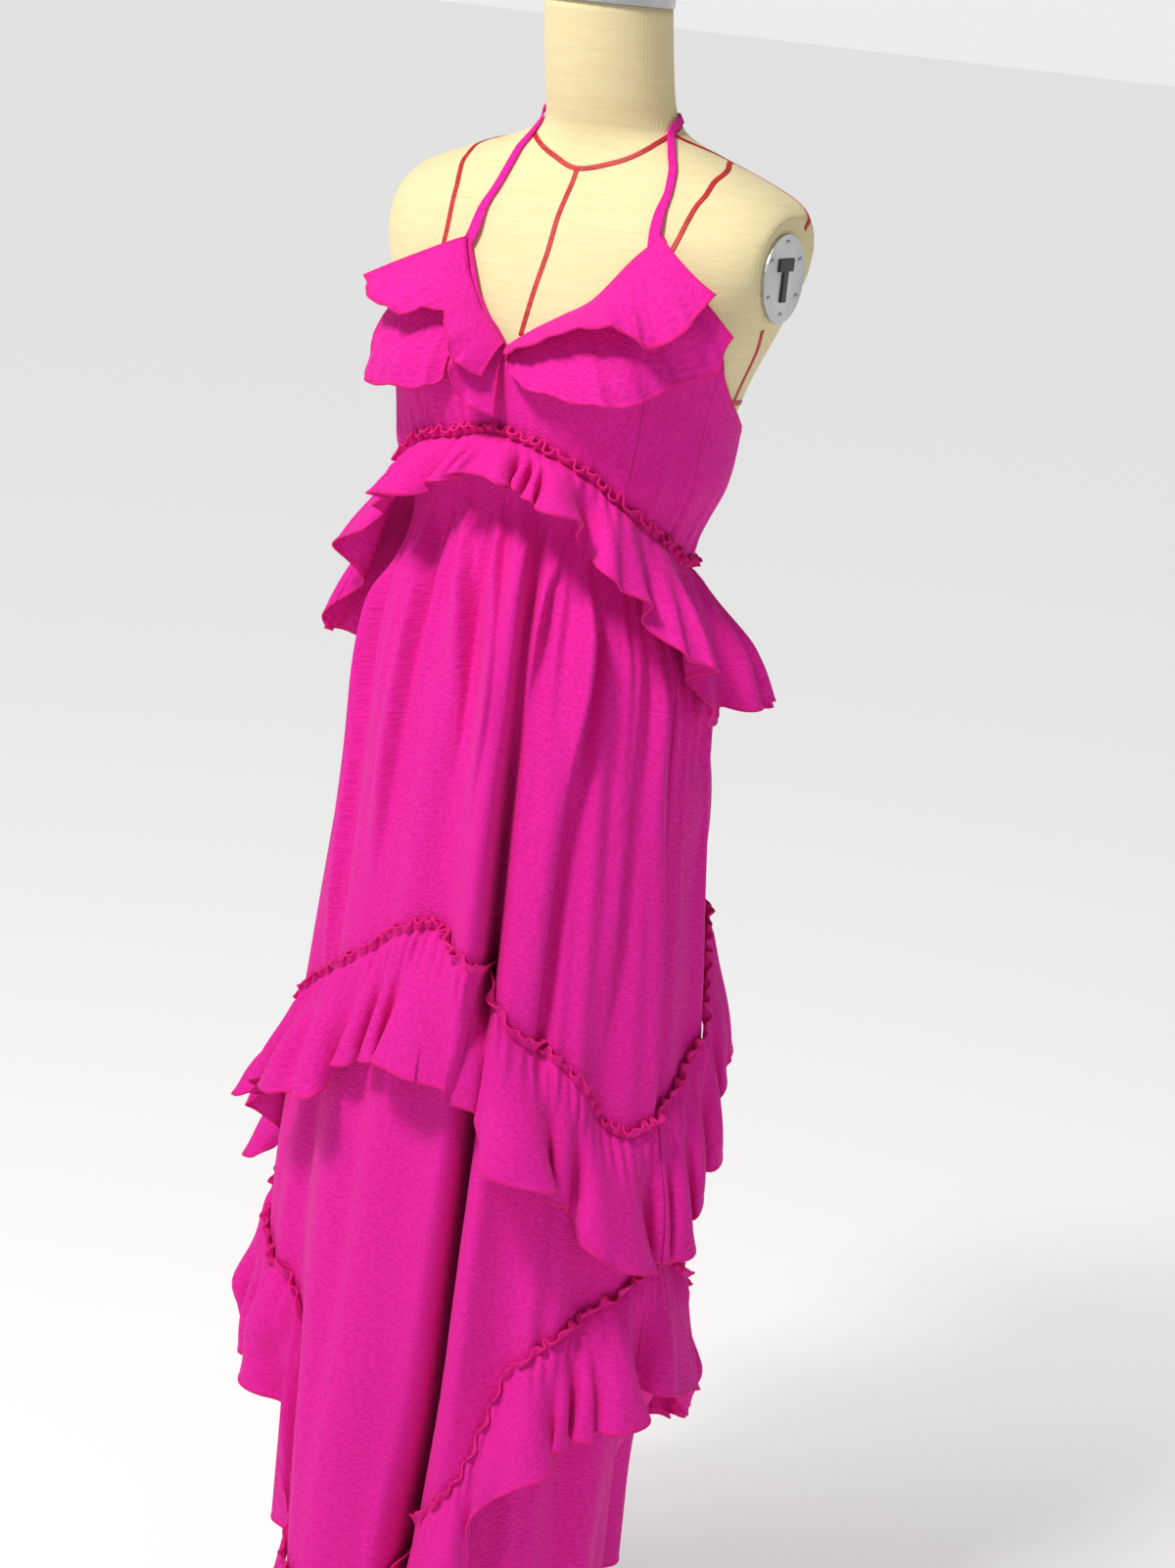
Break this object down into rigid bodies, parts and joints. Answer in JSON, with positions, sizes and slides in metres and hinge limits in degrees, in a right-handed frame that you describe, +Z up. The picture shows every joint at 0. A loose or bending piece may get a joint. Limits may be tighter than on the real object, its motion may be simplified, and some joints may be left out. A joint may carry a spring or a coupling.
{
  "type": "ruffled halter maxi dress on a limbless dress form with stand",
  "caption": "Long halter dress with tiered ruffles and bust flounces, hanging on a smooth limbless dress form that stands on a pole and a cross-shaped base.",
  "frame": {"origin": "on the floor under the pole of the dress form", "axes": "+Z up, the dress's front faces -Y, the wearer's left is +X"},
  "size_m": [0.4533, 0.4435, 1.5333],
  "materials": {
    "crepe": "bright pink crinkled crepe, matt with a soft sheen",
    "form_cover": "cream linen cover drawn smooth over padding",
    "bright_metal": "satin grey metal",
    "dark_plastic": "black, lightly worn",
    "stand_paint": "dark satin paint"
  },
  "bodies": {
    "root": {"form_body": "form_cover", "neck_cap": "bright_metal", "arm_plate_left": "bright_metal", "arm_plate_right": "bright_metal", "arm_key_left": "dark_plastic", "arm_key_right": "dark_plastic", "stand_base": "stand_paint", "stand_hub": "stand_paint", "stand_pole": "bright_metal", "form_flange": "stand_paint", "bodice_front_left": "crepe", "bodice_front_right": "crepe", "bodice_side_left": "crepe", "bodice_side_right": "crepe", "bodice_back": "crepe", "skirt_front": "crepe", "skirt_back": "crepe", "waist_ruffle_front": "crepe", "waist_ruffle_back": "crepe", "knee_ruffle_front": "crepe", "knee_ruffle_back": "crepe", "ankle_ruffle_front": "crepe", "ankle_ruffle_back": "crepe", "flounce_lower_left": "crepe", "flounce_upper_left": "crepe", "flounce_lower_right": "crepe", "flounce_upper_right": "crepe", "halter_strap_left": "crepe", "halter_strap_right": "crepe"}
  },
  "joints": []
}
